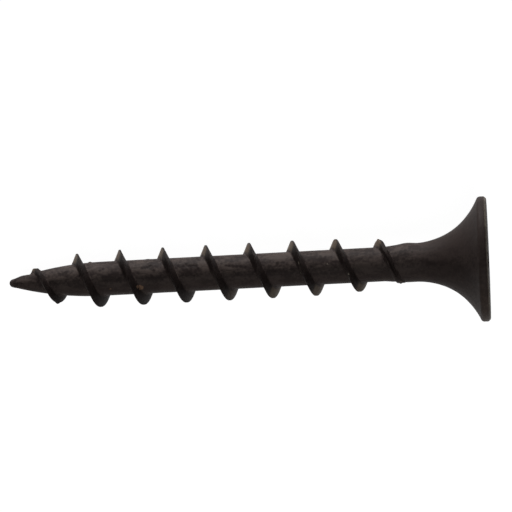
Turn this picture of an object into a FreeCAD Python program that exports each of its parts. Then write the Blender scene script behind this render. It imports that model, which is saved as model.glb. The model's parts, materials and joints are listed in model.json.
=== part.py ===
import FreeCAD, Part

import math
import os

import Sketcher

# Drywall screw: bugle head with a cross recess, sharp point, coarse right-hand rolled thread.
#
# The screw is drawn along X, with its head face at x = 0 and its point towards -X, and is then
# laid down as it comes to rest, on the rim of its head and one crest of its thread. Sizes are in
# millimetres and degrees. A station is a distance from the head face, measured along the screw.

Vector = FreeCAD.Vector
Y_AXIS = Vector(0, 1, 0)

NODE = "drywall_screw"

SIZES = {
    # Blank
    "overall_length": 31.75,
    "head_diameter": 8.2,
    "rim_thickness": 0.58,
    "face_chamfer": 0.18,
    "flare_rounding": 0.2,
    "flare_radius": 4.65,
    "neck_diameter": 2.55,
    "neck_length": 0.7,
    "root_taper": 1.3,
    "root_diameter": 2.27,
    "point_length": 6.2,
    "point_angle": 29.0,
    "tip_radius": 0.28,
    # Rolled thread
    "thread_pitch": 2.86,
    "thread_diameter": 3.73,
    "thread_angle": 42.0,
    "crest_land": 0.08,
    "crest_station": 9.99,
    "neck_clearance": 0.9,
    "runout_length": 6.8,
    "point_clearance": 0.85,
    # Cross recess
    "recess_span": 5.0,
    "recess_depth": 2.7,
    "wing_width": 1.1,
    "wing_draft": 3.0,
    "wing_slope": 26.5,
    "hub_diameter": 2.5,
    "hub_floor_diameter": 1.3,
    "hub_cone_depth": 0.4,
}

WINGS = 4

# The ridge's section fills out towards its two ends, because its crest isn't rolled up there:
# with 0 it would shrink to nothing, and with 1 it would only be cut down.
CREST_FILL = 0.65

# The ridge's foot lies this deep in the blank, and its two ends sink over these parts of a turn.
FOOT_DEPTH = 0.15
RUNOUT_TAIL = 0.06
POINT_TAIL = 0.12

STATIONS_PER_TURN = 16


class Outline:
    """The blank's outline: its stations, and its radius at any of them."""

    def __init__(self, size):
        self.length = size["overall_length"]
        self.head_radius = size["head_diameter"] / 2
        self.neck_radius = size["neck_diameter"] / 2
        self.root_radius = size["root_diameter"] / 2
        self.tip_radius = size["tip_radius"]
        self.rim = size["rim_thickness"]

        self.flare_radius = size["flare_radius"]
        self.flare_axis = self.neck_radius + self.flare_radius
        flare_reach = math.sqrt(self.flare_radius**2 - (self.flare_axis - self.head_radius) ** 2)
        self.flare_end = self.rim + flare_reach
        self.neck_end = self.flare_end + size["neck_length"]
        self.taper_end = self.neck_end + size["root_taper"]

        # The point is a cone, with a rounded tip, that an arc joins smoothly to the root
        self.point_start = self.length - size["point_length"]
        self.slope = math.radians(size["point_angle"] / 2)
        self.tip_centre = self.length - self.tip_radius
        self.tip_start = self.tip_centre + self.tip_radius * math.sin(self.slope)
        self.apex = self.tip_centre + self.tip_radius / math.sin(self.slope)
        corner = self.apex - self.root_radius / math.tan(self.slope)
        tangent = corner - self.point_start
        self.blend_radius = tangent / math.tan(self.slope / 2)
        self.blend_axis = self.root_radius - self.blend_radius
        self.cone_start = corner + tangent * math.cos(self.slope)

    def radius(self, station):
        """The blank's radius at a station, from the flare to the tip."""
        if station < self.flare_end:
            along = self.flare_end - station
            return self.flare_axis - math.sqrt(self.flare_radius**2 - along**2)
        if station < self.neck_end:
            return self.neck_radius
        if station < self.taper_end:
            share = (station - self.neck_end) / (self.taper_end - self.neck_end)
            return self.neck_radius + (self.root_radius - self.neck_radius) * share
        if station < self.point_start:
            return self.root_radius
        if station < self.cone_start:
            along = station - self.point_start
            return self.blend_axis + math.sqrt(self.blend_radius**2 - along**2)
        return (self.apex - station) * math.tan(self.slope)


class Thread:
    """The law of the thread: how high its crest stands at any station, and which way it faces."""

    def __init__(self, size, outline):
        self.outline = outline
        self.pitch = size["thread_pitch"]
        self.crest_radius = size["thread_diameter"] / 2
        self.flank = math.tan(math.radians(size["thread_angle"] / 2))
        self.half_land = size["crest_land"] / 2
        self.crest_station = size["crest_station"]

        self.runout_start = outline.flare_end + size["neck_clearance"]
        self.runout_length = size["runout_length"]
        self.runout_end = self.runout_start + self.runout_length

        # Over the point the crest follows an arc that meets the blank short of the tip
        self.point_end = outline.length - size["point_clearance"]
        reach = self.point_end - outline.point_start
        drop = self.crest_radius - outline.radius(self.point_end)
        self.arc_radius = (reach**2 + drop**2) / (2 * drop)

        self.first = self.runout_start - RUNOUT_TAIL * self.pitch
        self.last = self.point_end + POINT_TAIL * self.pitch
        self.turns = (self.last - self.first) / self.pitch

    def crest(self, station):
        """The crest's radius. At both ends it runs on below the blank's surface."""
        if station < self.runout_end:
            # The die's edge starts the ridge bluntly, and it then rises ever more gently
            rise = math.sin((station - self.runout_start) / self.runout_length * math.pi / 2)
            share = math.copysign(math.sqrt(abs(rise)), rise)
            neck = self.outline.neck_radius
            return neck + (self.crest_radius - neck) * share
        if station < self.outline.point_start:
            return self.crest_radius
        along = station - self.outline.point_start
        return self.crest_radius - self.arc_radius + math.sqrt(self.arc_radius**2 - along**2)

    def angle(self, station):
        """The crest's direction round the screw, from +Y towards +Z. It is a right-hand thread."""
        return 2 * math.pi * (self.crest_station - station) / self.pitch

    def section(self, station):
        """The ridge's four corners at a station, each as a radius and a place along the screw."""
        blank = self.outline.radius(station)
        crest = self.crest(station)
        foot = blank - min(FOOT_DEPTH, blank / 2)
        missing = (self.crest_radius - self.outline.root_radius) - (crest - blank)
        half_crest = self.half_land + CREST_FILL * max(0, missing) * self.flank
        half_foot = half_crest + (crest - foot) * self.flank
        return [
            (foot, station - half_foot),
            (crest, station - half_crest),
            (crest, station + half_crest),
            (foot, station + half_foot),
        ]


def make_sheet(doc):
    """A spreadsheet with the driving dimensions, one named cell each."""
    sheet = doc.addObject("Spreadsheet::Sheet", "sizes")
    for row, (name, value) in enumerate(SIZES.items(), start=1):
        sheet.set(f"A{row}", name)
        sheet.set(f"B{row}", str(value))
        sheet.setAlias(f"B{row}", name)
    doc.recompute()
    return sheet


def origin_feature(body, role):
    """The plane or axis of the body's own origin that has this role."""
    return next(feature for feature in body.Origin.OriginFeatures if feature.Role == role)


def new_sketch(body, name, plane):
    """An empty sketch on one of the body's origin planes."""
    sketch = body.newObject("Sketcher::SketchObject", name)
    sketch.AttachmentSupport = [(origin_feature(body, plane), "")]
    sketch.MapMode = "FlatFace"
    return sketch


def add_line(sketch, start, end):
    """A line, with its ends where they were drawn."""
    return sketch.addGeometry(Part.LineSegment(Vector(*start), Vector(*end)))


def add_arc(sketch, centre, radius, start_angle, end_angle):
    """An arc drawn anticlockwise, by its angles in degrees."""
    circle = Part.Circle(Vector(*centre), Vector(0, 0, 1), radius)
    arc = Part.ArcOfCircle(circle, math.radians(start_angle), math.radians(end_angle))
    return sketch.addGeometry(arc)


def constrain(sketch, kind, *where):
    """A constraint that holds no size."""
    sketch.addConstraint(Sketcher.Constraint(kind, *where))


def dimension(sketch, kind, name, expression, *where):
    """A named dimension, tied to the spreadsheet."""
    value = sketch.evalExpression(expression)
    number = sketch.addConstraint(Sketcher.Constraint(kind, *where, value))
    sketch.renameConstraint(number, name)
    sketch.setExpression(f"Constraints.{name}", expression)


def draw_blank(body, outline):
    """Half the blank's section: head face, rim, flare, neck, root, point and tip."""
    sketch = new_sketch(body, "blank_outline", "XY_Plane")
    start, end, centre = 1, 2, 3
    head = outline.head_radius
    neck = outline.neck_radius
    root = outline.root_radius

    axis = add_line(sketch, (-outline.length, 0), (0, 0))
    face = add_line(sketch, (0, 0), (0, head))
    rim = add_line(sketch, (0, head), (-outline.rim, head))
    flare_rise = math.degrees(math.atan2(head - outline.flare_axis, outline.flare_end - outline.rim))
    flare_centre = (-outline.flare_end, outline.flare_axis)
    flare = add_arc(sketch, flare_centre, outline.flare_radius, -90, flare_rise)
    shank = add_line(sketch, (-outline.flare_end, neck), (-outline.neck_end, neck))
    taper = add_line(sketch, (-outline.neck_end, neck), (-outline.taper_end, root))
    core = add_line(sketch, (-outline.taper_end, root), (-outline.point_start, root))
    slope = math.degrees(outline.slope)
    blend_centre = (-outline.point_start, outline.blend_axis)
    blend = add_arc(sketch, blend_centre, outline.blend_radius, 90, 90 + slope)
    cone_start = (-outline.cone_start, outline.radius(outline.cone_start))
    cone_end = (-outline.tip_start, outline.radius(outline.tip_start))
    cone = add_line(sketch, cone_start, cone_end)
    tip = add_arc(sketch, (-outline.tip_centre, 0), outline.tip_radius, 90 + slope, 180)

    constrain(sketch, "Coincident", axis, end, -1, 1)
    constrain(sketch, "Horizontal", axis)
    constrain(sketch, "Coincident", axis, end, face, start)
    constrain(sketch, "Vertical", face)
    constrain(sketch, "Coincident", face, end, rim, start)
    constrain(sketch, "Horizontal", rim)
    constrain(sketch, "Coincident", rim, end, flare, end)
    constrain(sketch, "Tangent", flare, start, shank, start)
    constrain(sketch, "Horizontal", shank)
    constrain(sketch, "Coincident", shank, end, taper, start)
    constrain(sketch, "Coincident", taper, end, core, start)
    constrain(sketch, "Horizontal", core)
    constrain(sketch, "Tangent", core, end, blend, start)
    constrain(sketch, "Tangent", blend, end, cone, start)
    constrain(sketch, "Tangent", cone, end, tip, start)
    constrain(sketch, "Coincident", tip, end, axis, start)
    constrain(sketch, "PointOnObject", tip, centre, axis)

    dimension(sketch, "DistanceX", "length", "sizes.overall_length", axis, start, axis, end)
    dimension(sketch, "DistanceY", "head", "sizes.head_diameter / 2", face, start, face, end)
    dimension(sketch, "DistanceX", "rim", "sizes.rim_thickness", rim, end, rim, start)
    dimension(sketch, "Radius", "flare", "sizes.flare_radius", flare)
    dimension(sketch, "DistanceY", "neck", "sizes.neck_diameter / 2", face, start, shank, start)
    dimension(sketch, "DistanceX", "neck_run", "sizes.neck_length", shank, end, shank, start)
    dimension(sketch, "DistanceX", "taper_run", "sizes.root_taper", core, start, shank, end)
    dimension(sketch, "DistanceY", "root", "sizes.root_diameter / 2", face, start, core, start)
    dimension(sketch, "DistanceX", "point", "sizes.point_length", axis, start, core, end)
    dimension(sketch, "Angle", "slope", "sizes.point_angle / 2 * 1deg", axis, start, cone, end)
    dimension(sketch, "Radius", "tip", "sizes.tip_radius", tip)
    return sketch


def draw_wing(body, name, depth, half_width, tip):
    """One wing's section across the recess at a depth, drawn from the middle outwards."""
    sketch = new_sketch(body, name, "YZ_Plane")
    sketch.setExpression("AttachmentOffset.Base.z", f"-({depth})")
    start, end = 1, 2
    side = float(sketch.evalExpression(half_width))
    reach = float(sketch.evalExpression(tip))
    corners = [(0, -side), (reach, -side), (reach, side), (0, side)]
    edges = [add_line(sketch, corners[i], corners[(i + 1) % 4]) for i in range(4)]
    for edge, following in zip(edges, edges[1:] + edges[:1]):
        constrain(sketch, "Coincident", edge, end, following, start)
    for edge, direction in zip(edges, ("Horizontal", "Vertical", "Horizontal", "Vertical")):
        constrain(sketch, direction, edge)
    constrain(sketch, "PointOnObject", edges[0], start, -2)
    dimension(sketch, "DistanceY", "below", half_width, edges[0], start, -1, 1)
    dimension(sketch, "DistanceY", "above", half_width, -1, 1, edges[3], start)
    dimension(sketch, "DistanceX", "reach", tip, edges[0], start, edges[0], end)
    return sketch


def draw_hub(body, size):
    """Half the section of the recess's middle: a tapered bore that ends in a flat cone."""
    sketch = new_sketch(body, "hub_outline", "XY_Plane")
    start, end = 1, 2
    mouth = size["hub_diameter"] / 2
    floor = size["hub_floor_diameter"] / 2
    depth = size["recess_depth"]
    bottom = depth + size["hub_cone_depth"]

    top = add_line(sketch, (0, 0), (0, mouth))
    wall = add_line(sketch, (0, mouth), (-depth, floor))
    cone = add_line(sketch, (-depth, floor), (-bottom, 0))
    axis = add_line(sketch, (-bottom, 0), (0, 0))

    constrain(sketch, "Coincident", top, start, -1, 1)
    constrain(sketch, "Vertical", top)
    constrain(sketch, "Coincident", top, end, wall, start)
    constrain(sketch, "Coincident", wall, end, cone, start)
    constrain(sketch, "Coincident", cone, end, axis, start)
    constrain(sketch, "Coincident", axis, end, top, start)
    constrain(sketch, "Horizontal", axis)

    dimension(sketch, "DistanceY", "mouth", "sizes.hub_diameter / 2", top, start, top, end)
    dimension(sketch, "DistanceY", "floor", "sizes.hub_floor_diameter / 2", top, start, wall, end)
    dimension(sketch, "DistanceX", "depth", "sizes.recess_depth", wall, end, top, start)
    dimension(sketch, "DistanceX", "cone", "sizes.hub_cone_depth", cone, end, wall, end)
    return sketch


def rim_edge(shape, outline, station):
    """The name of the round edge that the head's rim has at a station."""
    for number, edge in enumerate(shape.Edges, start=1):
        if edge.Degenerated or not isinstance(edge.Curve, Part.Circle):
            continue
        off_rim = abs(edge.Curve.Radius - outline.head_radius)
        off_station = abs(edge.Curve.Center.x + station)
        if max(off_rim, off_station) < 1e-6:
            return f"Edge{number}"
    raise ValueError("the head's rim has no edge there")


def make_blank(doc, size, outline):
    """The headed blank with its cross recess, before the thread is rolled on."""
    body = doc.addObject("PartDesign::Body", "blank")

    turned = body.newObject("PartDesign::Revolution", "turned_blank")
    turned.Profile = draw_blank(body, outline)
    turned.ReferenceAxis = (origin_feature(body, "X_Axis"), [""])
    turned.Angle = 360
    doc.recompute()

    rounding = body.newObject("PartDesign::Fillet", "flare_rounding")
    rounding.Base = (turned, [rim_edge(turned.Shape, outline, outline.rim)])
    rounding.setExpression("Radius", "sizes.flare_rounding")
    doc.recompute()

    chamfer = body.newObject("PartDesign::Chamfer", "face_chamfer")
    chamfer.Base = (rounding, [rim_edge(rounding.Shape, outline, 0)])
    chamfer.setExpression("Size", "sizes.face_chamfer")
    doc.recompute()

    hub = body.newObject("PartDesign::Groove", "recess_hub")
    hub.Profile = draw_hub(body, size)
    hub.ReferenceAxis = (origin_feature(body, "X_Axis"), [""])
    hub.Angle = 360
    doc.recompute()

    wing = body.newObject("PartDesign::SubtractiveLoft", "recess_wing")
    mouth_side = "sizes.wing_width / 2"
    mouth_reach = "sizes.recess_span / 2"
    floor_side = f"{mouth_side} - sizes.recess_depth * tan(sizes.wing_draft * 1deg)"
    floor_reach = f"{mouth_reach} - sizes.recess_depth * tan(sizes.wing_slope * 1deg)"
    wing.Profile = draw_wing(body, "wing_mouth", "0", mouth_side, mouth_reach)
    wing.Sections = [draw_wing(body, "wing_floor", "sizes.recess_depth", floor_side, floor_reach)]
    wing.Ruled = True
    doc.recompute()

    wings = body.newObject("PartDesign::PolarPattern", "recess_wings")
    wings.Originals = [wing]
    wings.Axis = (origin_feature(body, "X_Axis"), [""])
    wings.Angle = 360
    wings.Occurrences = WINGS
    body.Tip = wings
    doc.recompute()
    return body


def thread_ridge(thread):
    """The rolled ridge as a closed solid: four rails wound round the blank, a face between each
    pair for every turn, and a cap at each end."""
    steps = math.ceil(thread.turns * STATIONS_PER_TURN)
    spans = round(thread.turns)
    rails = [[] for _ in range(4)]
    for step in range(steps + 1):
        station = thread.first + (thread.last - thread.first) * step / steps
        angle = thread.angle(station)
        for rail, (radius, along) in zip(rails, thread.section(station)):
            rail.append(Vector(-along, radius * math.cos(angle), radius * math.sin(angle)))

    curves = []
    for rail in rails:
        curve = Part.BSplineCurve()
        curve.interpolate(Points=rail, Parameters=[step / steps for step in range(steps + 1)])
        curves.append(curve)

    faces = []
    for span in range(spans):
        edges = []
        for curve in curves:
            piece = curve.copy()
            piece.segment(span / spans, (span + 1) / spans)
            edges.append(piece.toShape())
        for edge, following in zip(edges, edges[1:] + edges[:1]):
            faces.append(Part.makeRuledSurface(edge, following))
    for end in (0, -1):
        corners = [rail[end] for rail in rails]
        faces.append(Part.Face(Part.makePolygon(corners + corners[:1])))

    shell = Part.makeShell(faces)
    shell.sewShape()
    return Part.makeSolid(shell)


def resting_slope(size, thread):
    """How far the point hangs down, in degrees, with the rim and one crest on the floor."""
    rim_station = size["rim_thickness"] - size["flare_rounding"]
    slopes = []
    station = thread.crest_station + thread.pitch / 4
    while station < thread.last:
        if station > thread.runout_start:
            fall = thread.outline.head_radius - thread.crest(station)
            slopes.append(math.atan2(fall, station - rim_station))
        station += thread.pitch
    return math.degrees(min(slopes))


def lay_down(screw, slope):
    """Turns the screw to its resting slope, with the middle of its underside at the origin."""
    turn = FreeCAD.Rotation(Y_AXIS, -slope)
    screw.Placement = FreeCAD.Placement(Vector(0, 0, 0), turn)
    box = screw.Shape.optimalBoundingBox(False, False)
    middle = (box.XMin + box.XMax) / 2
    screw.Placement = FreeCAD.Placement(Vector(-middle, 0, -box.ZMin), turn)


def check(doc, screw):
    """Stops with a message if anything failed to build."""
    for item in doc.Objects:
        if "Invalid" in item.State or "Error" in item.State:
            raise RuntimeError(f"{item.Name} did not build: {item.State}")
    shape = screw.Shape
    if shape.isNull() or not shape.isValid() or len(shape.Solids) != 1:
        raise RuntimeError(f"{screw.Label} is not one sound solid")


def main():
    doc = FreeCAD.newDocument("drywall_screw")
    sheet = make_sheet(doc)
    size = {name: float(sheet.get(name)) for name in SIZES}
    outline = Outline(size)
    thread = Thread(size, outline)

    blank = make_blank(doc, size, outline)
    ridge = doc.addObject("Part::Feature", "ridge")
    ridge.Shape = thread_ridge(thread)

    screw = doc.addObject("Part::Fuse", "screw")
    screw.Label = NODE
    screw.Base = blank
    screw.Tool = ridge
    doc.recompute()
    lay_down(screw, resting_slope(size, thread))
    check(doc, screw)

    os.makedirs("parts", exist_ok=True)
    screw.Shape.exportStep(f"parts/{screw.Label}.step")
    print("volume", round(screw.Shape.Volume, 3), "faces", len(screw.Shape.Faces))


main()
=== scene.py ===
import json
import logging
import math
from collections.abc import Callable, Sequence
from dataclasses import dataclass, field
from enum import Enum
from typing import Any

import bmesh
import bpy
from mathutils import Matrix, Vector, noise


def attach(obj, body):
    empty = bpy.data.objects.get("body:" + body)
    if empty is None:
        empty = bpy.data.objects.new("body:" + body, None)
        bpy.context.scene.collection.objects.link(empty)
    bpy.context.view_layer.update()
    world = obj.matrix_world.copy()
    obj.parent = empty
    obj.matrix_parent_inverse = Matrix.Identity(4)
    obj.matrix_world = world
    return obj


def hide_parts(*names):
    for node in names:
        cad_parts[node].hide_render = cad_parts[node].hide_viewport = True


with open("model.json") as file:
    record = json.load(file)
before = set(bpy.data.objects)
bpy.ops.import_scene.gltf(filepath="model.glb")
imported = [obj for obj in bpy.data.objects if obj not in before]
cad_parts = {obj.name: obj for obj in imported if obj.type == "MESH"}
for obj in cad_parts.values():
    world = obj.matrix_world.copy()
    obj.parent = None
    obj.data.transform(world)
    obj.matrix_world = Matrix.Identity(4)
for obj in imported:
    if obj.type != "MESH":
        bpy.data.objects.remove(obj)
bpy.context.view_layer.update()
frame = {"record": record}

# Drywall screw: the rolled thread, the bugle head with its cross recess, and the phosphate coat.
#
# The screw is modelled along X in millimetres, its head face at x = 0 and its point towards -X,
# and then takes its place on the floor. A station is a distance from the head face, measured
# along the screw, and a bearing is an angle round it, from +Y towards the side that faces up.

LOG = logging.getLogger("drywall_screw")
MM = 0.001
# In millimetres: nearer vertices are taken for one, and a radius is never smaller than the least
MERGE = 1e-4
LEAST_RADIUS = 0.01


class Edge(Enum):
    """Which open edge of a mesh a tool works on."""

    HEAD_END = 1
    POINT_END = -1


def smooth_step(low: float, high: float, value: float) -> float:
    """A soft step from 0 at low to 1 at high."""
    share = min(1.0, max(0.0, (value - low) / (high - low)))
    return share * share * (3.0 - 2.0 * share)


def soft_max(first: float, second: float, width: float) -> float:
    """The larger of two values, with the corner between them filled over a width."""
    share = min(1.0, max(0.0, 0.5 + 0.5 * (first - second) / width))
    return second + (first - second) * share + width * share * (1.0 - share)


def soft_min(first: float, second: float, width: float) -> float:
    """The smaller of two values, with the corner between them rounded over a width."""
    return -soft_max(-first, -second, width)


def bump_at(distance: float, reach: float) -> float:
    """A smooth hump: 1 at its middle, and 0 from its reach on."""
    return 1.0 - smooth_step(0.0, reach, abs(distance))


Point = tuple[float, float]


def between(start: Point, end: Point, share: float) -> Point:
    """The point part of the way from a start to an end."""
    return (start[0] + (end[0] - start[0]) * share, start[1] + (end[1] - start[1]) * share)


@dataclass(frozen=True)
class Fade:
    """A soft step from 0 at one value, none, to 1 at another, full."""

    none: float
    full: float

    def at(self, value: float) -> float:
        """How far the step has come at a value."""
        return smooth_step(self.none, self.full, value)


class Bench:
    """The modelling tools, each used as by hand on the active object."""

    @staticmethod
    def clear() -> None:
        """Leaves edit mode and selects nothing."""
        if bpy.context.object and bpy.context.object.mode != "OBJECT":
            bpy.ops.object.mode_set(mode="OBJECT")
        bpy.ops.object.select_all(action="DESELECT")

    @staticmethod
    def take(piece: bpy.types.Object) -> None:
        """Makes a piece the active one, and the only one selected.

        Args:
            piece: The object to work on.
        """
        Bench.clear()
        piece.select_set(True)
        bpy.context.view_layer.objects.active = piece

    @staticmethod
    def edit(piece: bpy.types.Object) -> None:
        """Opens a piece in edit mode, by itself, with nothing selected in it.

        Args:
            piece: The object to work on.
        """
        Bench.take(piece)
        bpy.ops.object.mode_set(mode="EDIT")
        bpy.ops.mesh.select_mode(type="VERT")
        bpy.ops.mesh.select_all(action="DESELECT")

    @staticmethod
    def done() -> None:
        """Closes edit mode."""
        bpy.ops.object.mode_set(mode="OBJECT")

    @staticmethod
    def select(piece: bpy.types.Object, wanted: Callable[[Vector], bool]) -> None:
        """Selects vertices by their place, in edit mode.

        Args:
            piece: The object in edit mode.
            wanted: Says of a vertex's place whether it is selected.
        """
        cage = bmesh.from_edit_mesh(piece.data)
        for vertex in cage.verts:
            if wanted(vertex.co):
                vertex.select_set(True)
        cage.select_flush(True)
        bmesh.update_edit_mesh(piece.data)

    @staticmethod
    def trim(station: float, edge: Edge) -> None:
        """Cuts the piece in edit mode square at a station and drops what lies past it.

        Args:
            station: Where it is cut.
            edge: Which end is dropped.
        """
        bpy.ops.mesh.select_all(action="SELECT")
        bpy.ops.mesh.bisect(
            plane_co=(-station, 0.0, 0.0),
            plane_no=(edge.value, 0.0, 0.0),
            clear_outer=True,
            clear_inner=False,
        )
        bpy.ops.mesh.select_all(action="DESELECT")

    @staticmethod
    def shape(piece: bpy.types.Object, place: Callable[[int], Vector]) -> None:
        """Moves the selected ring of vertices, taken in order of bearing, to new places.

        Args:
            piece: The object in edit mode, with one ring selected.
            place: Gives the new place of the vertex with a number in the ring.
        """
        cage = bmesh.from_edit_mesh(piece.data)
        ring = [vertex for vertex in cage.verts if vertex.select]
        ring.sort(key=lambda vertex: math.atan2(vertex.co.z, vertex.co.y) % (2 * math.pi))
        for number, vertex in enumerate(ring):
            vertex.co = place(number)
        bmesh.update_edit_mesh(piece.data)

    @staticmethod
    def grow(rings: Sequence[Point]) -> None:
        """Extrudes the selected ring along the screw, ring by ring, and sizes each.

        Args:
            rings: A station and a radius for the selected ring, and then for each new one.
        """
        for (last_station, last_radius), (station, radius) in zip(rings, rings[1:]):
            move = {"value": (last_station - station, 0.0, 0.0)}
            bpy.ops.mesh.extrude_edges_move(TRANSFORM_OT_translate=move)
            scale = radius / last_radius
            bpy.ops.transform.resize(value=(1.0, scale, scale), center_override=(-station, 0.0, 0.0))


@dataclass
class Blank:
    """The headed blank's outline, before its thread is rolled, in millimetres and degrees."""

    overall_length: float = 31.75
    head_diameter: float = 8.2
    rim_thickness: float = 0.58
    face_chamfer: float = 0.18
    flare_rounding: float = 0.24
    flare_radius: float = 4.65
    neck_diameter: float = 2.55
    neck_length: float = 0.7
    root_taper: float = 1.3
    root_diameter: float = 2.27
    point_length: float = 6.2
    point_angle: float = 29.0
    tip_radius: float = 0.28

    def __post_init__(self) -> None:
        """Works out the stations where one part of the outline meets the next."""
        self.head_radius = self.head_diameter / 2
        self.neck_radius = self.neck_diameter / 2
        self.root_radius = self.root_diameter / 2
        self.flare_axis = self.neck_radius + self.flare_radius
        reach = math.sqrt(self.flare_radius**2 - (self.flare_axis - self.head_radius) ** 2)
        self.flare_end = self.rim_thickness + reach
        self.neck_end = self.flare_end + self.neck_length
        self.taper_end = self.neck_end + self.root_taper
        self.point_start = self.overall_length - self.point_length
        self.slope = math.radians(self.point_angle / 2)
        self.tip_centre = self.overall_length - self.tip_radius
        self.tip_start = self.tip_centre + self.tip_radius * math.sin(self.slope)
        self.apex = self.tip_centre + self.tip_radius / math.sin(self.slope)
        corner = self.apex - self.root_radius / math.tan(self.slope)
        tangent = corner - self.point_start
        self.blend_radius = tangent / math.tan(self.slope / 2)
        self.blend_axis = self.root_radius - self.blend_radius
        self.cone_start = corner + tangent * math.cos(self.slope)

    def radius(self, station: float) -> float:
        """The blank's radius.

        Args:
            station: Any station from the flare to the tip.

        Returns:
            The radius there.
        """
        if station < self.flare_end:
            along = self.flare_end - max(station, self.rim_thickness)
            return self.flare_axis - math.sqrt(self.flare_radius**2 - along**2)
        if station < self.neck_end:
            return self.neck_radius
        if station < self.taper_end:
            share = (station - self.neck_end) / (self.taper_end - self.neck_end)
            return self.neck_radius + (self.root_radius - self.neck_radius) * share
        if station < self.point_start:
            return self.root_radius
        if station < self.cone_start:
            along = station - self.point_start
            return self.blend_axis + math.sqrt(self.blend_radius**2 - along**2)
        return max(LEAST_RADIUS, (self.apex - station) * math.tan(self.slope))


@dataclass
class Thread:
    """The rolled ridge: how high and wide it stands at every place on the screw."""

    blank: Blank
    pitch: float = 2.86
    diameter: float = 3.73
    flank_angle: float = 42.0
    crest_land: float = 0.08
    point_fill: float = 0.5
    runout_fill: float = 0.7
    crest_station: float = 9.99
    neck_clearance: float = 0.9
    runout_length: float = 6.8
    runout_dive: float = 0.1
    point_clearance: float = 0.85
    root_fillet: float = 0.05
    crest_rounding: float = 0.012
    seam_depth: float = 0.14
    seam_width: float = 0.11
    seam_offset: float = 0.1
    seam_slope: float = 0.6
    seam_station: float = 6.5
    seam_reach: float = 0.7

    def __post_init__(self) -> None:
        """Works out the ridge's two ends and the arc of its crest over the point."""
        self.crest_radius = self.diameter / 2
        self.flank = math.tan(math.radians(self.flank_angle / 2))
        self.runout_start = self.blank.flare_end + self.neck_clearance
        self.runout_end = self.runout_start + self.runout_length
        point_end = self.blank.overall_length - self.point_clearance
        reach = point_end - self.blank.point_start
        drop = self.crest_radius - self.blank.radius(point_end)
        self.arc_radius = (reach**2 + drop**2) / (2 * drop)

    def crest(self, station: float) -> float:
        """The crest's radius as it was rolled.

        Args:
            station: Where the crest stands. Past the ridge's ends it lies under the surface.

        Returns:
            The radius there.
        """
        if station < self.runout_end:
            along = max(-self.runout_dive, (station - self.runout_start) / self.runout_length)
            rise = math.sin(along * math.pi / 2)
            share = math.copysign(math.sqrt(abs(rise)), rise)
            neck = self.blank.neck_radius
            return neck + (self.crest_radius - neck) * share
        if station < self.blank.point_start:
            return self.crest_radius
        along = station - self.blank.point_start
        return self.crest_radius - self.arc_radius + math.sqrt(max(0.0, self.arc_radius**2 - along**2))

    def nearest(self, station: float, bearing: float) -> tuple[float, float]:
        """The turn of the ridge nearest to a place.

        Args:
            station: The place's station.
            bearing: Its bearing, in radians.

        Returns:
            The station of that turn's crest on this bearing, and how far towards the tip of it
            the place lies.
        """
        wound = self.crest_station - bearing / (2 * math.pi) * self.pitch
        turn = round((station - wound) / self.pitch)
        crest = wound + turn * self.pitch
        return crest, station - crest

    def radius(self, station: float, bearing: float) -> float:
        """The finished surface's radius, ridge and blank together.

        Args:
            station: The place's station.
            bearing: Its bearing, in radians.

        Returns:
            The radius there.
        """
        core = self.blank.radius(station)
        crest_station, offset = self.nearest(station, bearing)
        blank = self.blank.radius(crest_station)
        crest = self.crest(crest_station)
        missing = (self.crest_radius - self.blank.root_radius) - (crest - blank)
        fill = self.runout_fill if station < self.runout_end else self.point_fill
        half_crest = self.crest_land / 2 + fill * max(0.0, missing) * self.flank
        crest -= self.seam(crest_station, offset)
        flank = crest - max(0.0, abs(offset) - half_crest) / self.flank
        # The rounding lowers the crest by a quarter of its width, which is given back
        flank = min(crest, soft_min(flank, crest, self.crest_rounding) + self.crest_rounding / 4)
        if flank < core - self.root_fillet:
            return core
        return soft_max(flank, core, self.root_fillet)

    def seam(self, station: float, offset: float) -> float:
        """The dark fold that splits the ridge's blunt first turn into two low ridges.

        Args:
            station: Where the crest stands.
            offset: How far from the crest's middle the place lies.

        Returns:
            How deep the fold is there.
        """
        past = station - self.seam_station
        middle = self.seam_offset + self.seam_slope * past
        depth = self.seam_depth * bump_at(past, self.seam_reach)
        return depth * bump_at(offset - middle, self.seam_width)


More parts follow.
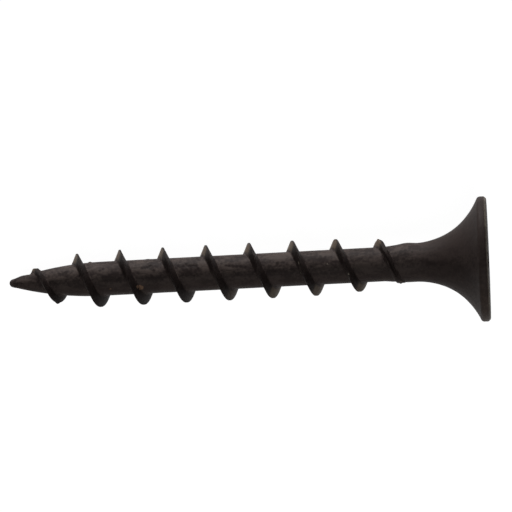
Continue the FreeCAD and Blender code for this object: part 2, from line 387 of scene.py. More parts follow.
@dataclass
class ThreadedShank:
    """The neck, the threaded shank and its sharp point, wound up from one turn's section."""

    blank: Blank
    thread: Thread
    steps_per_turn: int = 120
    spare_turns: int = 2
    lead_turns: float = 1.5
    head_cut: float = 4.6
    land_rows: Sequence[float] = (0.0, 0.02, 0.04, 0.06, 0.085)
    flank_end: float = 0.42
    flank_rows: int = 9
    fillet_end: float = 0.62
    fillet_rows: int = 4
    root_rows: int = 9
    tip_rings: int = 5
    tip_merge: float = 0.011

    def rows(self) -> list[float]:
        """Where the section's vertices lie over one pitch, close together on the ridge.

        Returns:
            Offsets from the crest, from half a pitch before it to half a pitch past it.
        """
        half = self.thread.pitch / 2
        side = list(self.land_rows)
        for end, count in (
            (self.flank_end, self.flank_rows),
            (self.fillet_end, self.fillet_rows),
            (half, self.root_rows),
        ):
            start = side[-1]
            side += [start + (end - start) * (row + 1) / count for row in range(count)]
        return [-offset for offset in reversed(side[1:])] + side

    def wind(self) -> bpy.types.Object:
        """Draws one turn's section as a chain of edges and winds it into a tube.

        Returns:
            The tube, of plain radius, its rows of vertices following the thread.
        """
        pitch = self.thread.pitch
        turns = math.ceil((self.blank.overall_length - self.head_cut) / pitch) + self.spare_turns
        tip_turn = math.floor((self.thread.crest_station - self.blank.tip_start) / pitch)
        start = -self.thread.crest_station + (tip_turn - self.lead_turns) * pitch
        rows = self.rows()

        Bench.clear()
        bpy.ops.mesh.primitive_plane_add(size=1.0)
        tube = bpy.context.object
        Bench.edit(tube)
        bpy.ops.mesh.select_all(action="SELECT")
        bpy.ops.mesh.merge(type="CENTER")
        bpy.ops.transform.translate(value=(start, self.blank.root_radius, 0.0))
        for row, following in zip(rows, rows[1:]):
            step = {"value": (following - row, 0.0, 0.0)}
            bpy.ops.mesh.extrude_region_move(TRANSFORM_OT_translate=step)
        Bench.done()
        Bench.take(tube)
        path = tube.modifiers.new("thread_path", "SCREW")
        path.axis = "X"
        path.angle = 2 * math.pi
        path.screw_offset = pitch
        path.iterations = turns
        path.steps = path.render_steps = self.steps_per_turn
        bpy.ops.object.modifier_apply(modifier=path.name)
        return tube

    def roll(self, tube: bpy.types.Object) -> None:
        """Raises the ridge out of the tube and gives the core its neck, taper and point.

        Args:
            tube: The wound tube.
        """
        for vertex in tube.data.vertices:
            along, across, up = vertex.co
            bearing = math.atan2(up, across)
            radius = self.thread.radius(-along, bearing)
            vertex.co = (along, radius * math.cos(bearing), radius * math.sin(bearing))

    def close_tip(self, tube: bpy.types.Object) -> None:
        """Rounds off the point, ring by ring, and closes it.

        Args:
            tube: The trimmed tube, in edit mode.
        """
        cut = self.blank.tip_start

        def at_cut(place: Vector) -> bool:
            """Whether a vertex lies on the cut."""
            return place.x < -cut + MERGE

        Bench.select(tube, at_cut)
        bpy.ops.mesh.remove_doubles(threshold=self.tip_merge)
        bpy.ops.mesh.select_all(action="DESELECT")
        Bench.select(tube, at_cut)
        centre, radius = self.blank.tip_centre, self.blank.tip_radius
        start = math.asin(min(1.0, (cut - centre) / radius))
        rings = [(cut, self.blank.radius(cut))]
        for ring in range(1, self.tip_rings):
            rise = start + (math.pi / 2 - start) * ring / self.tip_rings
            rings.append((centre + radius * math.sin(rise), radius * math.cos(rise)))
        rings.append((self.blank.overall_length, rings[-1][1]))
        Bench.grow(rings)
        bpy.ops.mesh.merge(type="CENTER")

    def build(self) -> bpy.types.Object:
        """Makes the shank, open at its head end.

        Returns:
            The shank.
        """
        tube = self.wind()
        Bench.edit(tube)
        bpy.ops.mesh.select_all(action="SELECT")
        bpy.ops.mesh.remove_doubles(threshold=MERGE)
        Bench.done()
        self.roll(tube)
        Bench.edit(tube)
        Bench.trim(self.head_cut, Edge.HEAD_END)
        Bench.trim(self.blank.tip_start, Edge.POINT_END)
        self.close_tip(tube)
        Bench.done()
        return tube


@dataclass
class CrossRecess:
    """The driver recess: four tapered wings round a tapered hub with a conical floor."""

    span: float = 5.0
    depth: float = 2.7
    wing_width: float = 1.1
    wing_draft: float = 3.0
    wing_slope: float = 26.5
    hub_diameter: float = 2.5
    hub_floor_diameter: float = 1.3
    hub_cone_depth: float = 0.4
    hub_margin: float = 1.02
    lip: float = 0.1
    end_segments: int = 4
    side_segments: int = 8
    hub_segments: int = 8

    @property
    def segments(self) -> int:
        """How many vertices one ring of the recess has."""
        return 4 * (2 * self.end_segments + 2 * self.side_segments + self.hub_segments)

    def quarter(self, depth: float, grow: float) -> list[Point]:
        """A quarter of the outline at a depth, from the middle of one wing to the next.

        Args:
            depth: How deep below the face the outline lies.
            grow: How far it is let out all round, as at the rounded lip.

        Returns:
            Its points across the screw, without the last, which starts the next quarter.
        """
        side = self.wing_width / 2 - depth * math.tan(math.radians(self.wing_draft)) + grow
        reach = self.span / 2 - depth * math.tan(math.radians(self.wing_slope)) + grow
        taper = (self.hub_diameter - self.hub_floor_diameter) / 2 / self.depth
        hub = self.hub_diameter / 2 - depth * taper + grow
        hub = max(hub, side * math.sqrt(2) * self.hub_margin)
        inner = math.sqrt(hub**2 - side**2)
        first = math.asin(side / hub)

        def line(start: Point, end: Point, count: int) -> list[Point]:
            """Points from a start towards an end, without the end itself."""
            return [between(start, end, step / count) for step in range(count)]

        points = line((reach, 0.0), (reach, side), self.end_segments)
        points += line((reach, side), (inner, side), self.side_segments)
        for step in range(self.hub_segments):
            angle = first + (math.pi / 2 - 2 * first) * step / self.hub_segments
            points.append((hub * math.cos(angle), hub * math.sin(angle)))
        points += line((side, inner), (side, reach), self.side_segments)
        return points + line((side, reach), (0.0, reach), self.end_segments)

    def outline(self, depth: float, grow: float = 0.0) -> list[Point]:
        """The whole outline at a depth, its corners rounded as the punch leaves them.

        Args:
            depth: How deep below the face the outline lies.
            grow: How far it is let out all round.

        Returns:
            Its points across the screw, in order of bearing.
        """
        points = []
        for cosine, sine in ((1, 0), (0, 1), (-1, 0), (0, -1)):
            for across, up in self.quarter(depth, grow):
                points.append((across * cosine - up * sine, across * sine + up * cosine))
        count = len(points)
        rounded = []
        for number in range(count):
            before, here, after = (points[(number + step) % count] for step in (-1, 0, 1))
            rounded.append(tuple((b + 2 * h + a) / 4 for b, h, a in zip(before, here, after)))
        return rounded


@dataclass
class BugleHead:
    """The flared head: the curved underside, the thin rim, the flat face and its recess."""

    blank: Blank
    recess: CrossRecess
    neck_cut: float = 4.5
    flare_rings: int = 30
    rounding_rings: int = 6
    face_rings: int = 7
    lip_rings: int = 3
    wall_rings: int = 9
    floor_rings: int = 4
    chamfer_softness: float = 0.02
    chamfer_near: float = 0.12
    chamfer_far: float = 0.72

    def rim_rings(self) -> list[Point]:
        """Rings over the flare, the rounded edge under the rim, the rim and the chamfer.

        Returns:
            A station and a radius for each ring, from the neck to the face.
        """
        blank = self.blank
        rounding = blank.flare_rounding
        round_axis = blank.head_radius - rounding
        # The rounding touches the rim and the flare's arc, which is hollow on this side
        reach = blank.flare_radius + rounding
        round_station = blank.flare_end - math.sqrt(reach**2 - (blank.flare_axis - round_axis) ** 2)
        lean = math.asin((blank.flare_end - round_station) / reach)
        start = math.asin((blank.flare_end - self.neck_cut) / blank.flare_radius)
        rings = []
        for ring in range(self.flare_rings + 1):
            turn = start + (lean - start) * ring / self.flare_rings
            station = blank.flare_end - blank.flare_radius * math.sin(turn)
            rings.append((station, blank.flare_axis - blank.flare_radius * math.cos(turn)))
        for ring in range(1, self.rounding_rings + 1):
            turn = math.pi / 2 - lean * (1 - ring / self.rounding_rings)
            station = round_station + rounding * math.cos(turn)
            rings.append((station, round_axis + rounding * math.sin(turn)))
        chamfer, edge = blank.face_chamfer, blank.head_radius
        near, far = chamfer * self.chamfer_near, chamfer * self.chamfer_far
        rings.append((chamfer + self.chamfer_softness, edge))
        rings += [(far, edge - near), (near, edge - far)]
        rings.append((0.0, edge - chamfer - self.chamfer_softness))
        return rings

    def build(self) -> bpy.types.Object:
        """Makes the head, open at its neck.

        Returns:
            The head.
        """
        rings = self.rim_rings()
        station, radius = rings[0]
        Bench.clear()
        bpy.ops.mesh.primitive_circle_add(
            vertices=self.recess.segments,
            radius=radius,
            location=(-station, 0.0, 0.0),
            rotation=(0.0, math.pi / 2, 0.0),
        )
        head = bpy.context.object
        bpy.ops.object.transform_apply(location=True, rotation=True, scale=True)
        Bench.edit(head)
        bpy.ops.mesh.select_all(action="SELECT")
        Bench.grow(rings)
        self.sink_recess(head, rings[-1][1])
        Bench.done()
        return head

    def sink_recess(self, head: bpy.types.Object, face_radius: float) -> None:
        """Carries the face inwards to the recess and the recess down to its floor.

        Args:
            head: The head, in edit mode, with the edge of its face selected.
            face_radius: The radius of that edge.
        """
        recess = self.recess
        count = recess.segments

        def ring_to(points: Sequence[Point], depth: float) -> None:
            """Adds one ring at a depth, through the points."""
            bpy.ops.mesh.extrude_edges_move()
            Bench.shape(head, lambda number: Vector((-depth, *points[number])))

        mouth = recess.outline(0.0, recess.lip)
        edge = [
            (face_radius * math.cos(angle), face_radius * math.sin(angle))
            for angle in (2 * math.pi * number / count for number in range(count))
        ]
        for ring in range(1, self.face_rings + 1):
            share = ring / self.face_rings
            ring_to([between(outer, inner, share) for outer, inner in zip(edge, mouth)], 0.0)
        for ring in range(1, self.lip_rings + 1):
            turn = math.pi / 2 * ring / self.lip_rings
            depth = recess.lip * (1 - math.cos(turn))
            ring_to(recess.outline(depth, recess.lip * (1 - math.sin(turn))), depth)
        for ring in range(1, self.wall_rings + 1):
            depth = recess.lip + (recess.depth - recess.lip) * ring / self.wall_rings
            ring_to(recess.outline(depth), depth)
        floor = recess.outline(recess.depth)
        hub = recess.hub_floor_diameter / 2
        bottom = recess.depth + recess.hub_cone_depth
        for ring in range(self.floor_rings):
            radius = hub * (1 - ring / self.floor_rings)
            depth = bottom - (bottom - recess.depth) * min(1.0, radius / hub)
            points = []
            for across, up in floor:
                far = math.hypot(across, up)
                points.append((across / far * radius, up / far * radius))
            ring_to(points, depth)
        ring_to([(0.0, 0.0)] * count, bottom)
        bpy.ops.mesh.merge(type="CENTER")


# What a shader socket takes: a number, a vector, a colour or a signal
Value = Any


class Signal:
    """A shader value that can be used in sums, each of which adds a Math node."""

    def __init__(self, graph: "Graph", socket: bpy.types.NodeSocket) -> None:
        """Wraps an output socket of a graph's node."""
        self.graph = graph
        self.socket = socket

    def math(self, operation: str, *values: Value) -> "Signal":
        """The result of a Math node on some values."""
        return self.graph.out("ShaderNodeMath", {"operation": operation}, dict(enumerate(values)))

    def __add__(self, other: Value) -> "Signal":
        """self + other"""
        return self.math("ADD", self, other)

    __radd__ = __add__

    def __mul__(self, other: Value) -> "Signal":
        """self * other"""
        return self.math("MULTIPLY", self, other)

    __rmul__ = __mul__

    def __sub__(self, other: Value) -> "Signal":
        """self - other"""
        return self.math("SUBTRACT", self, other)

    def __rsub__(self, other: Value) -> "Signal":
        """other - self"""
        return self.math("SUBTRACT", other, self)

    def ramp(self, fade: Fade) -> "Signal":
        """How far a fade has come at this value."""
        sockets = {"Value": self, "From Min": fade.none, "From Max": fade.full}
        return self.graph.out("ShaderNodeMapRange", {"interpolation_type": "SMOOTHSTEP"}, sockets)

    def larger(self, other: Value) -> "Signal":
        """The larger of two values."""
        return self.math("MAXIMUM", self, other)


class Graph:
    """The nodes of one material, or of the world."""

    def __init__(self, tree: bpy.types.NodeTree) -> None:
        """Takes over a node tree and empties it."""
        self.tree = tree
        tree.nodes.clear()

    def node(
        self,
        kind: str,
        settings: dict[str, Any] | None = None,
        sockets: dict[str | int, Value] | None = None,
    ) -> bpy.types.Node:
        """Adds a node.

        Args:
            kind: The node's type.
            settings: Its own settings, set before its sockets.
            sockets: A number, a colour, a vector or a signal for each named socket.

        Returns:
            The node.
        """
        node = self.tree.nodes.new(kind)
        for name, value in (settings or {}).items():
            setattr(node, name, value)
        for name, value in (sockets or {}).items():
            if isinstance(value, Signal):
                self.tree.links.new(value.socket, node.inputs[name])
            else:
                node.inputs[name].default_value = value
        return node

    def out(
        self,
        kind: str,
        settings: dict[str, Any] | None = None,
        sockets: dict[str | int, Value] | None = None,
        output: str | int = 0,
    ) -> Signal:
        """Adds a node and gives one of its outputs.

        Args:
            kind: The node's type.
            settings: Its own settings.
            sockets: What its sockets hold.
            output: Which output is wanted.

        Returns:
            The output as a signal.
        """
        return Signal(self, self.node(kind, settings, sockets).outputs[output])

    def blend(self, factor: Value, low: Value, high: Value) -> Signal:
        """Mixes two colours by a factor."""
        # The node's sockets for colours are its inputs 6 and 7, and its output 2
        sockets = {0: factor, 6: low, 7: high}
        return self.out("ShaderNodeMix", {"data_type": "RGBA"}, sockets, output=2)

    def attribute(self, name: str) -> Signal:
        """A value that is written on the mesh."""
        return self.out("ShaderNodeAttribute", {"attribute_name": name}, output="Fac")

    def noise(self, place: Signal, scale: float, detail: float, roughness: float) -> Signal:
        """A noise pattern's value, with its lumps 1 / scale apart."""
        sockets = {"Vector": place, "Scale": scale, "Detail": detail, "Roughness": roughness}
        return self.out("ShaderNodeTexNoise", {"noise_dimensions": "3D"}, sockets)


def new_material(name: str) -> tuple[bpy.types.Material, Graph]:
    """Makes an empty node material.

    Args:
        name: The material's name.

    Returns:
        The material and its graph.
    """
    material = bpy.data.materials.new(name)
    material.use_nodes = True
    return material, Graph(material.node_tree)


Colour = tuple[float, float, float, float]


def grey(level: float) -> Colour:
    """A neutral colour of a level."""
    return (level, level, level, 1.0)


@dataclass(frozen=True)
class BlackPhosphate:
    """The matt coat: black-brown crystals, browner where thin, lighter where scuffed, and painted
    light and shade.

    Scales are in lumps to the millimetre and heights in millimetres, and each fade says where
    on its mask a colour takes over from the one before.
    """

    deep: Colour = (0.0215, 0.0158, 0.0150, 1.0)
    brown: Colour = (0.0560, 0.0430, 0.0385, 1.0)
    headed: Colour = (0.0235, 0.0170, 0.0155, 1.0)
    # Lighter tan, for scuffed coat and for painted highlight
    worn_and_lit: Colour = (0.0900, 0.0640, 0.0440, 1.0)
    # Near black, for painted shade and for dark stains
    shade_and_stain: Colour = (0.0100, 0.0066, 0.0062, 1.0)
    rust: Colour = (0.1450, 0.0900, 0.0600, 1.0)
    # Pale grey, for a ring along the chamfer's edge and for the specks' painted glints
    pale_marks: Colour = (0.1900, 0.1650, 0.1350, 1.0)
    smear_scale: float = 1.9
    smear_stretch: tuple[float, float, float] = (0.4, 1.0, 1.0)
    grain_scale: float = 5.5
    crystal_scale: float = 26.0
    smear_share: float = 0.6
    thin_fade: Fade = Fade(0.4, 0.6)
    thin_mean: float = 0.45
    contrast_fade: Fade = Fade(-0.9, 0.3)
    contrast_low: float = 0.4
    contrast_rise: float = 0.65
    headed_fade: Fade = Fade(-3.0, 1.5)
    headed_share: float = 0.9
    worn_and_lit_fade: Fade = Fade(0.15, 0.95)
    worn_and_lit_evenly: float = 0.55
    worn_and_lit_by_grain: float = 0.9
    shade_and_stain_fade: Fade = Fade(0.05, 0.5)
    shade_and_stain_share: float = 0.78
    rust_fade: Fade = Fade(0.35, 0.6)
    rust_by_grain: float = 0.2
    pale_marks_fade: Fade = Fade(0.2, 0.9)
    pale_marks_evenly: float = 0.45
    roughness: float = 0.5
    crystal_roughness: float = 0.16
    worn_and_lit_polish: float = 0.08
    specular: float = 0.045
    crystal_relief: float = 0.2
    grain_relief: float = 0.2
    smear_relief: float = 1.2
    forged_smoothness: float = 0.7
    relief_strength: float = 0.7
    relief_height: float = 0.04

    def colour(self, graph: Graph, across: Signal, smear: Signal, grain: Signal) -> Signal:
        """Lays the colours over each other, from the coat itself to the pale marks.

        Args:
            graph: The material's graph.
            across: Where a place lies across the screw, in millimetres.
            smear: The pattern drawn out along the screw.
            grain: The finer pattern.

        Returns:
            The colour.
        """
        thin = (smear * self.smear_share + grain * (1.0 - self.smear_share)).ramp(self.thin_fade)
        # The mottling is given more contrast towards +Y, where the key light falls, and is flattened
        # on the shaded side: painted shade.
        contrast = across.ramp(self.contrast_fade) * self.contrast_rise + self.contrast_low
        thin = (thin - self.thin_mean) * contrast + self.thin_mean
        # The head is made darker towards +Y, its upper side.
        headed = graph.attribute("forged") * across.ramp(self.headed_fade) * self.headed_share
        # Lighter tan where the coat is scuffed, and painted highlight on the teeth facing +Y and on
        # the head's rim
        worn_and_lit = graph.attribute("wear_and_highlight") * (grain * self.worn_and_lit_by_grain + self.worn_and_lit_evenly)
        # Near black: painted shade on the ridge's flanks, and dark stains
        shaded_and_stained = graph.attribute("shade_and_stain_mask").ramp(self.shade_and_stain_fade) * self.shade_and_stain_share
        rusty = graph.attribute("fleck") + grain * self.rust_by_grain
        # Pale grey on a ring along the chamfer's edge, and on the specks, painted with their glint
        paled = graph.attribute("pale_marks") * (smear + self.pale_marks_evenly)

        colour = graph.blend(thin, self.deep, self.brown)
        colour = graph.blend(headed, colour, self.headed)
        colour = graph.blend(worn_and_lit.ramp(self.worn_and_lit_fade), colour, self.worn_and_lit)
        colour = graph.blend(shaded_and_stained, colour, self.shade_and_stain)
        colour = graph.blend(rusty.ramp(self.rust_fade), colour, self.rust)
        return graph.blend(paled.ramp(self.pale_marks_fade), colour, self.pale_marks)

    def build(self) -> bpy.types.Material:
        """Makes the material.

        Returns:
            The material.
        """
        material, graph = new_material("black_phosphate")
        metres = graph.out("ShaderNodeTexCoord", output="Object")
        scaled = {"Vector": metres, "Scale": 1 / MM}
        place = graph.out("ShaderNodeVectorMath", {"operation": "SCALE"}, scaled)
        stretched = {0: place, 1: self.smear_stretch}
        drawn = graph.out("ShaderNodeVectorMath", {"operation": "MULTIPLY"}, stretched)
        across = graph.out("ShaderNodeSeparateXYZ", None, {0: place}, output="Y")
        smear = graph.noise(drawn, self.smear_scale, detail=3.0, roughness=0.6)
        grain = graph.noise(place, self.grain_scale, detail=3.0, roughness=0.6)
        crystal = graph.noise(place, self.crystal_scale, detail=2.0, roughness=0.5)

        polish = graph.attribute("wear_and_highlight") * self.worn_and_lit_polish
        rolled = smear * self.smear_relief * (1.0 - graph.attribute("forged") * self.forged_smoothness)
        relief = {
            "Strength": self.relief_strength,
            "Distance": self.relief_height * MM,
            "Height": crystal * self.crystal_relief + grain * self.grain_relief + rolled,
        }
        coat = {
            "Base Color": self.colour(graph, across, smear, grain),
            "Roughness": self.roughness + crystal * self.crystal_roughness - polish,
            "Specular IOR Level": self.specular,
            "Normal": graph.out("ShaderNodeBump", None, relief),
        }
        surface = graph.out("ShaderNodeBsdfPrincipled", None, coat)
        graph.node("ShaderNodeOutputMaterial", None, {"Surface": surface})
        return material


@dataclass(frozen=True)
class Spot:
    """A small place on the screw: its station, its bearing in degrees, its reach and its depth.

    The depth is how far a knock goes in, or how strong a stain is.
    """

    station: float
    bearing: float
    reach: float
    depth: float = 0.0

    def centre(self, thread: Thread) -> Vector:
        """Finds it on the screw.

        Args:
            thread: The screw's thread.

        Returns:
            Its centre on the finished surface, in the modelling frame.
        """
        angle = math.radians(self.bearing)
        radius = thread.radius(self.station, angle)
        return Vector((-self.station, radius * math.cos(angle), radius * math.sin(angle)))

    def share(self, place: Vector, centre: Vector) -> float:
        """How strongly it is felt at a place: 1 at its centre, 0 past its reach."""
        return bump_at((place - centre).length, self.reach)


# Knocks in the metal, and burrs thrown up where the depth is below zero
KNOCKS = (
    Spot(30.95, 2.0, 0.45, -0.04),
    Spot(30.38, -48.0, 0.3, 0.16),
    Spot(30.3, -34.0, 0.3, 0.18),
    Spot(30.24, -21.0, 0.28, 0.16),
    Spot(30.34, 0.0, 0.22, 0.12),
    Spot(29.86, 0.0, 0.12, 0.09),
    Spot(29.7, 0.0, 0.12, -0.1),
    Spot(28.6, 180.0, 0.28, -0.09),
    Spot(26.3, 0.0, 0.16, -0.06),
    Spot(26.55, 6.0, 0.18, 0.04),
    Spot(31.2, 200.0, 0.24, 0.03),
    Spot(22.45, 4.0, 0.2, -0.025),
    Spot(22.25, 57.0, 0.24, 0.04),
    Spot(19.85, 60.0, 0.26, 0.04),
    Spot(19.3, 61.0, 0.22, 0.035),
    Spot(16.9, 69.0, 0.28, 0.035),
    Spot(11.76, 180.0, 0.18, 0.07),
    Spot(8.2, 30.0, 0.3, 0.03),
    Spot(7.24, 0.0, 0.24, -0.08),
    Spot(6.14, 180.0, 0.2, 0.04),
    Spot(5.86, 180.0, 0.2, -0.11),
    Spot(5.6, 180.0, 0.2, 0.04),
    Spot(5.3, 0.0, 0.8, -0.05),
)

# Rust and dust caught in the coat
FLECKS = (
    Spot(23.08, 120.0, 0.19),
    Spot(22.95, 124.0, 0.2),
    Spot(22.82, 127.0, 0.18),
    Spot(22.84, 133.0, 0.16),
    Spot(22.95, 131.0, 0.16),
    Spot(24.92, 128.0, 0.1),
)

# Specks scuffed through to the steel, painted bright with their glint
GLINTS = (
    Spot(12.38, 77.0, 0.2),
    Spot(12.29, 104.0, 0.18),
    Spot(10.54, 80.0, 0.12),
    Spot(9.16, 107.0, 0.13),
    Spot(9.16, 115.0, 0.12),
)

# Dark scale lying on the coat
STAINS = (
    Spot(27.79, 56.0, 0.26, 0.6),
    Spot(25.53, 61.0, 0.16, 0.7),
    Spot(25.33, 56.0, 0.16, 0.7),
    Spot(22.75, 60.0, 0.14, 0.7),
    Spot(22.56, 59.0, 0.15, 0.8),
    Spot(22.37, 58.0, 0.16, 0.9),
    Spot(22.23, 53.0, 0.14, 0.8),
    Spot(22.12, 48.0, 0.13, 0.7),
    Spot(22.16, 64.0, 0.15, 0.9),
    Spot(21.95, 71.0, 0.15, 0.9),
    Spot(20.36, 58.0, 0.16, 0.8),
    Spot(19.98, 60.0, 0.13, 0.9),
    Spot(19.82, 51.0, 0.13, 0.9),
    Spot(19.81, 70.0, 0.13, 0.9),
    Spot(19.65, 60.0, 0.13, 0.9),
    Spot(19.5, 59.0, 0.13, 0.9),
    Spot(19.34, 60.0, 0.13, 0.9),
    Spot(19.17, 63.0, 0.13, 0.9),
    Spot(19.03, 71.0, 0.15, 0.8),
    Spot(17.19, 66.0, 0.15, 0.7),
    Spot(16.97, 68.0, 0.17, 0.8),
    Spot(16.74, 70.0, 0.18, 0.9),
    Spot(16.51, 71.0, 0.18, 0.9),
    Spot(16.24, 73.0, 0.17, 0.8),
    Spot(15.94, 75.0, 0.15, 0.7),
    Spot(13.81, 69.0, 0.2, 0.7),
)


@dataclass(frozen=True)
class CoatWearAndLight:
    """Where the coat is made lighter and darker, place by place, in millimetres, with painted light
    and shade.

    A side is 1 where a place faces +Y, the lit edge, and -1 at the far one. An offset is how far
    past its turn's crest it lies.
    """

    ridge_height: Fade = Fade(0.04, 0.2)
    lit_side: Fade = Fade(0.72, 0.97)
    lit_offset: Fade = Fade(0.0, 0.08)
    far_side: Fade = Fade(-0.7, -0.95)
    far_offset: Fade = Fade(0.0, -0.06)
    far_station: Fade = Fade(24.0, 13.0)
    painted_shade_station: Fade = Fade(4.6, 7.8)
    front_upper: Fade = Fade(0.35, 0.05)
    front_lower: Fade = Fade(-0.95, -0.7)
    front_offset: Fade = Fade(-0.02, 0.1)
    front_share: float = 0.75
    edge_station: float = 0.08
    edge_reach: float = 0.14
    edge_radius: Fade = Fade(3.8, 3.95)
    edge_share: float = 0.8
    rim_station: Fade = Fade(1.1, 0.5)
    rim_radius: Fade = Fade(3.4, 3.9)
    rim_share: float = 0.2

    def at(self, place: Vector, thread: Thread) -> tuple[float, float, float]:
        """How the coat is made lighter and darker at a place.

        Args:
            place: A place on the surface, in the modelling frame.
            thread: The screw's thread.

        Returns:
            How much it is lightened, by scuffing and painted highlight, its painted shade, and its
            pale chamfer edge.
        """
        blank = thread.blank
        station = -place.x
        radius = math.hypot(place.y, place.z)
        height = radius - blank.radius(station) if station > blank.flare_end else 0.0
        offset = thread.nearest(station, math.atan2(place.z, place.y))[1]
        side = place.y / max(radius, LEAST_RADIUS)

        on_ridge = self.ridge_height.at(height)
        lit = self.lit_side.at(side) * self.lit_offset.at(offset)
        far = self.far_side.at(side) * self.far_station.at(station)
        # Lighter on the ridge facing +Y, where the key light falls: a painted highlight. Lighter also
        # on the head-side flanks of the far side's ridge, towards the head.
        rubbed_and_lit = on_ridge * max(lit, far * self.far_offset.at(offset))
        # The head's rim is made lighter, most towards -Y: painted light.
        rim = self.rim_share * (1.0 - side) * self.rim_station.at(station) * self.rim_radius.at(radius)
        front = self.front_upper.at(side) * self.front_lower.at(side) * self.front_offset.at(offset)
        # The rest of the ridge is darkened: painted shade, lessened on the tip-side flanks from the
        # middle towards -Y.
        painted_shade = on_ridge * (1.0 - max(lit, far)) * self.painted_shade_station.at(station)
        painted_shade *= 1.0 - self.front_share * front
        # A pale ring along the chamfer at the face's edge.
        edge = self.edge_share * bump_at(station - self.edge_station, self.edge_reach)
        return max(rubbed_and_lit, rim), painted_shade, edge * self.edge_radius.at(radius)


@dataclass
class DrywallScrew:
    """The whole screw, one rolled and headed piece of steel."""

    blank: Blank = field(default_factory=Blank)
    wear_and_highlight: CoatWearAndLight = CoatWearAndLight()
    node: str = "drywall_screw"
    slot: str = "black_phosphate"
    mount: str = "drive_recess"
    rolled_depth: float = 0.005
    rolled_scale: float = 0.9
    rolled_share: float = 0.7
    fine_scale: float = 4.3
    fine_share: float = 0.5
    fine_shift: tuple[float, float, float] = (7.0, 3.0, 1.0)
    head_lean: float = 0.0105
    flare_hollow: float = 0.025
    hollow_station: float = 2.2
    hollow_reach: float = 1.7
    forged_station: float = 3.2
    smooth_angle: float = 38.0

    def __post_init__(self) -> None:
        """Sets up the parts from the blank's own sizes."""
        self.thread = Thread(self.blank)
        self.shank = ThreadedShank(self.blank, self.thread)
        self.head = BugleHead(self.blank, CrossRecess())

    def place(self) -> Matrix:
        """Where the screw lies, from the recess's mount, millimetres to metres.

        Returns:
            The matrix from the modelling frame to the row's frame.
        """
        mounts = {mount["name"]: mount for mount in frame["record"]["mounts"]}
        mount = mounts[self.mount]
        along = Vector(mount["axis"]).normalized()
        across = Vector((0.0, 1.0, 0.0))
        up = along.cross(across)
        turn = Matrix((along, across, up)).transposed().to_4x4()
        return Matrix.Translation(mount["pos_m"]) @ turn @ Matrix.Scale(MM, 4)

    def join(self) -> bpy.types.Object:
        """Joins the shank and the head and bridges the gap between them.

        Returns:
            The closed screw, in millimetres.
        """
        head = self.head.build()
        shank = self.shank.build()
        Bench.take(shank)
        head.select_set(True)
        bpy.ops.object.join()
        screw = bpy.context.object
        screw.name = screw.data.name = "phosphated_screw"
        Bench.edit(screw)
        bpy.ops.mesh.select_mode(type="EDGE")
        bpy.ops.mesh.select_non_manifold(
            use_wire=False, use_boundary=True, use_multi_face=False, use_non_contiguous=False
        )
        bpy.ops.mesh.bridge_edge_loops()
        bpy.ops.mesh.select_all(action="SELECT")
        bpy.ops.mesh.normals_make_consistent(inside=False)
        Bench.done()
        return screw

    def sculpt(self, screw: bpy.types.Object) -> None:
        """Gives the screw its rolled unevenness, its knocks and burrs, and its head's slight lean.

        Args:
            screw: The closed screw, in millimetres.
        """
        knocks = [(knock, knock.centre(self.thread)) for knock in KNOCKS]
        shift = Vector(self.fine_shift)
        moves = []
        for vertex in screw.data.vertices:
            here = vertex.co
            coarse = noise.noise(here * self.rolled_scale)
            fine = noise.noise(here * self.rolled_scale * self.fine_scale + shift)
            uneven = 1.0 + self.rolled_share * coarse + self.fine_share * fine
            depth = max(0.0, self.rolled_depth * uneven)
            depth += self.flare_hollow * bump_at(here.x + self.hollow_station, self.hollow_reach)
            move = vertex.normal * -depth
            outward = Vector((0.0, here.y, here.z)).normalized()
            for knock, centre in knocks:
                if abs(here.x - centre.x) < knock.reach:
                    move -= outward * knock.depth * knock.share(here, centre)
            headed = smooth_step(self.blank.flare_end, self.blank.rim_thickness, -here.x)
            move.x -= self.head_lean * (self.blank.head_radius - here.y) * headed
            moves.append(move)
        for vertex, move in zip(screw.data.vertices, moves):
            vertex.co += move

    def mark(self, screw: bpy.types.Object) -> None:
        """Writes the coat's scuffs and painted highlights, painted shade and stains, pale marks and
        flecks, and how far the head is forged.

        Args:
            screw: The closed screw, in millimetres.
        """
        flecks, glints, stains = (
            [(spot, spot.centre(self.thread)) for spot in spots] for spots in (FLECKS, GLINTS, STAINS)
        )
        forged = Fade(self.blank.neck_end, self.forged_station)
        marks = {"wear_and_highlight": [], "shade_and_stain_mask": [], "pale_marks": [], "fleck": [], "forged": []}
        for vertex in screw.data.vertices:
            here = vertex.co
            # Scuffing with painted highlight, painted shade, and the pale chamfer edge
            worn_and_lit, painted_shade, pale_marks = self.wear_and_highlight.at(here, self.thread)
            stained = max(stain.depth * stain.share(here, centre) for stain, centre in stains)
            rubbed_and_lit = max(glint.share(here, centre) for glint, centre in glints)
            marks["wear_and_highlight"].append(worn_and_lit)
            marks["shade_and_stain_mask"].append(max(painted_shade, stained))
            marks["pale_marks"].append(max(pale_marks, rubbed_and_lit))
            marks["fleck"].append(max(fleck.share(here, centre) for fleck, centre in flecks))
            marks["forged"].append(forged.at(-here.x))
        for name, values in marks.items():
            attribute = screw.data.attributes.new(name, "FLOAT", "POINT")
            attribute.data.foreach_set("value", values)

    def build(self) -> bpy.types.Object:
        """Makes the finished screw in its place.

        Returns:
            The screw.
        """
        screw = self.join()
        self.sculpt(screw)
        self.mark(screw)
        Bench.take(screw)
        screw.matrix_world = self.place()
        bpy.ops.object.transform_apply(location=True, rotation=True, scale=True)
        bpy.ops.object.shade_smooth_by_angle(angle=math.radians(self.smooth_angle))
        screw.data.materials.clear()
        screw.data.materials.append(BlackPhosphate().build())
        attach(screw, "root")
        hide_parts(self.node)
        return screw


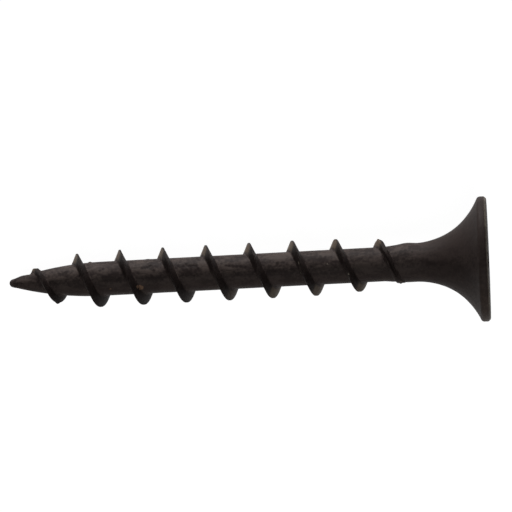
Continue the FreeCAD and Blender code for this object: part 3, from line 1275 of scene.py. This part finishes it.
@dataclass(frozen=True)
class Panel:
    """A light panel: where it stands, its size in metres, its power in watts and its aim."""

    name: str
    place: tuple[float, float, float]
    size: tuple[float, float]
    power: float
    aim: tuple[float, float, float] = (0.0, 0.0, 0.002)

    def build(self) -> None:
        """Sets the panel up, turned to the screw."""
        data = bpy.data.lights.new(self.name, "AREA")
        data.shape = "RECTANGLE"
        data.size, data.size_y = self.size
        data.energy = self.power
        light = bpy.data.objects.new(self.name, data)
        light.location = self.place
        beam = Vector(self.aim) - Vector(self.place)
        light.rotation_euler = beam.to_track_quat("-Z", "Z").to_euler()
        bpy.context.scene.collection.objects.link(light)


@dataclass
class Studio:
    """A white table in soft light from two sides, seen from above."""

    camera_height: float = 0.202
    camera_lens: float = 212.9
    camera_roll: float = 0.0518
    image_shift: tuple[float, float] = (0.011, 0.0294)
    clip_start: float = 0.01
    key: Panel = Panel("key", (-0.05, 0.3, 0.008), (0.16, 0.014), 1.68)
    card: Panel = Panel("card", (0.0, -0.16, 0.28), (0.2, 0.2), 0.38)
    fill: float = 0.045
    glow: float = 0.975
    floor_size: float = 2.0
    bounce_grey: float = 0.4
    shadow_grey: float = 0.15
    horizon: Fade = Fade(0.15, 0.7)
    overhead_drop: float = 0.92

    def camera(self) -> None:
        """Sets the camera straight above the screw, turned as the photograph is."""
        data = bpy.data.cameras.new("overhead")
        data.lens = self.camera_lens
        data.shift_x, data.shift_y = self.image_shift
        data.clip_start = self.clip_start
        camera = bpy.data.objects.new("overhead", data)
        camera.location = (0.0, 0.0, self.camera_height)
        camera.rotation_euler = (0.0, 0.0, -self.camera_roll)
        bpy.context.scene.collection.objects.link(camera)
        bpy.context.scene.camera = camera

    @staticmethod
    def seen(graph: Graph) -> Signal:
        """Which rays show the background: to the camera, or by way of gloss or glass.

        Args:
            graph: The graph of the floor or of the world.

        Returns:
            1 on those rays and 0 on the others.
        """
        path = graph.node("ShaderNodeLightPath")
        kinds = ("Camera", "Glossy", "Transmission")
        direct, gloss, glass = (Signal(graph, path.outputs[f"Is {kind} Ray"]) for kind in kinds)
        return direct.larger(gloss).larger(glass)

    def floor(self) -> None:
        """Lays the white table, which keeps a soft shadow."""
        Bench.clear()
        bpy.ops.mesh.primitive_plane_add(size=self.floor_size)
        floor = bpy.context.object
        floor.name = "floor"
        material, graph = new_material("white_table")
        plain = graph.out("ShaderNodeBsdfDiffuse", None, {"Color": grey(self.bounce_grey)})
        bright = graph.out("ShaderNodeEmission", None, {"Strength": self.glow})
        faint = graph.out("ShaderNodeBsdfDiffuse", None, {"Color": grey(self.shadow_grey)})
        shown = graph.out("ShaderNodeAddShader", None, {0: bright, 1: faint})
        mixed = graph.out("ShaderNodeMixShader", None, {0: self.seen(graph), 1: plain, 2: shown})
        graph.node("ShaderNodeOutputMaterial", None, {"Surface": mixed})
        floor.data.materials.append(material)

    def world(self) -> None:
        """White round the horizon, darker overhead, and a weak even fill."""
        world = bpy.data.worlds.new("studio")
        world.use_nodes = True
        graph = Graph(world.node_tree)
        seen = self.seen(graph)
        fill = graph.out("ShaderNodeBackground", None, {"Strength": self.fill})
        place = graph.out("ShaderNodeTexCoord", output="Generated")
        height = graph.out("ShaderNodeSeparateXYZ", None, {0: place}, output="Z")
        bright = 1.0 - height.ramp(self.horizon) * self.overhead_drop
        shown = graph.out("ShaderNodeBackground", None, {"Strength": bright})
        mixed = graph.out("ShaderNodeMixShader", None, {0: seen, 1: fill, 2: shown})
        graph.node("ShaderNodeOutputWorld", None, {"Surface": mixed})
        bpy.context.scene.world = world

    def build(self) -> None:
        """Sets up the whole studio."""
        self.camera()
        self.floor()
        self.world()
        self.key.build()
        self.card.build()
        bpy.context.scene.view_settings.view_transform = "Standard"


def main() -> None:
    """Builds the screw and the studio round it."""
    logging.basicConfig(level=logging.INFO, format="%(message)s")
    screw = DrywallScrew().build()
    LOG.info("%s: %d faces", screw.name, len(screw.data.polygons))
    Studio().build()


if __name__ == "__main__":
    main()
